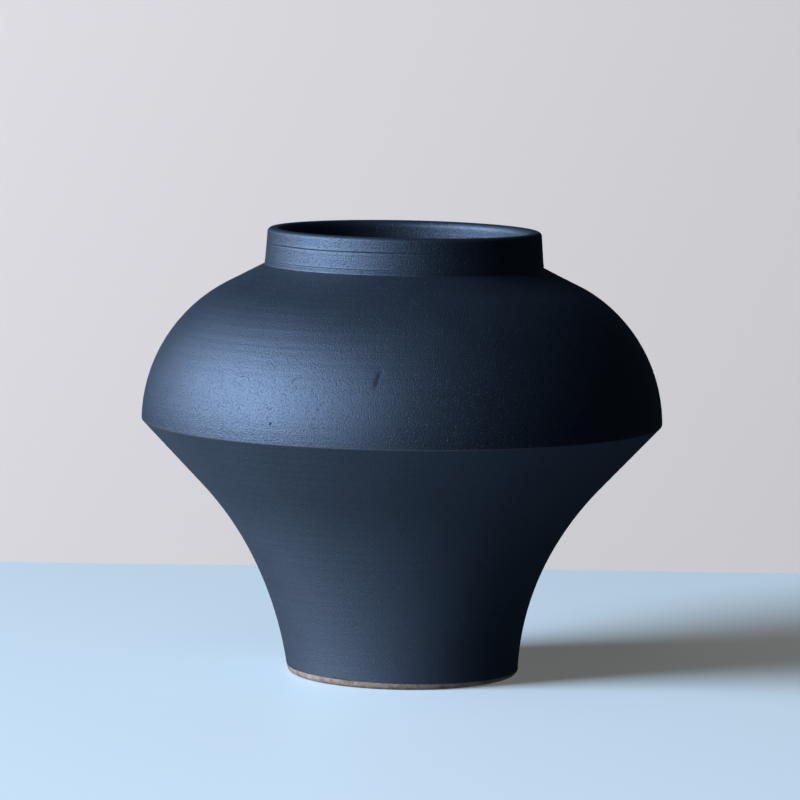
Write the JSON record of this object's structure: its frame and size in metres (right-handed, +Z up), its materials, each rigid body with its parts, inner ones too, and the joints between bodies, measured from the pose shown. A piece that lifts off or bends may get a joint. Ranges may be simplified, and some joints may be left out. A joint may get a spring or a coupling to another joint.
{
  "type": "black clay pot",
  "caption": "Free-standing round pot in matt black glaze: flat bare-clay base, flared lower wall, sharp keel, domed shoulder and a short open collar neck.",
  "frame": {"origin": "middle of the flat underside, where the pot's axis meets what it stands on", "axes": "+Z up along the pot's axis; X and Y are any two level directions, because the pot is round"},
  "size_m": [0.23, 0.23, 0.1969],
  "materials": {
    "black_glaze": "satin to matt black glaze with a cold blue cast, finely pitted",
    "bare_clay": "unglazed fired clay, dry and slightly gritty"
  },
  "bodies": {
    "root": {"base_disc": "bare_clay", "foot_seam_coil": "black_glaze", "lower_wall": "black_glaze", "keel_seam_coil": "black_glaze", "shoulder_dome": "black_glaze", "neck_collar": "black_glaze"}
  },
  "joints": []
}
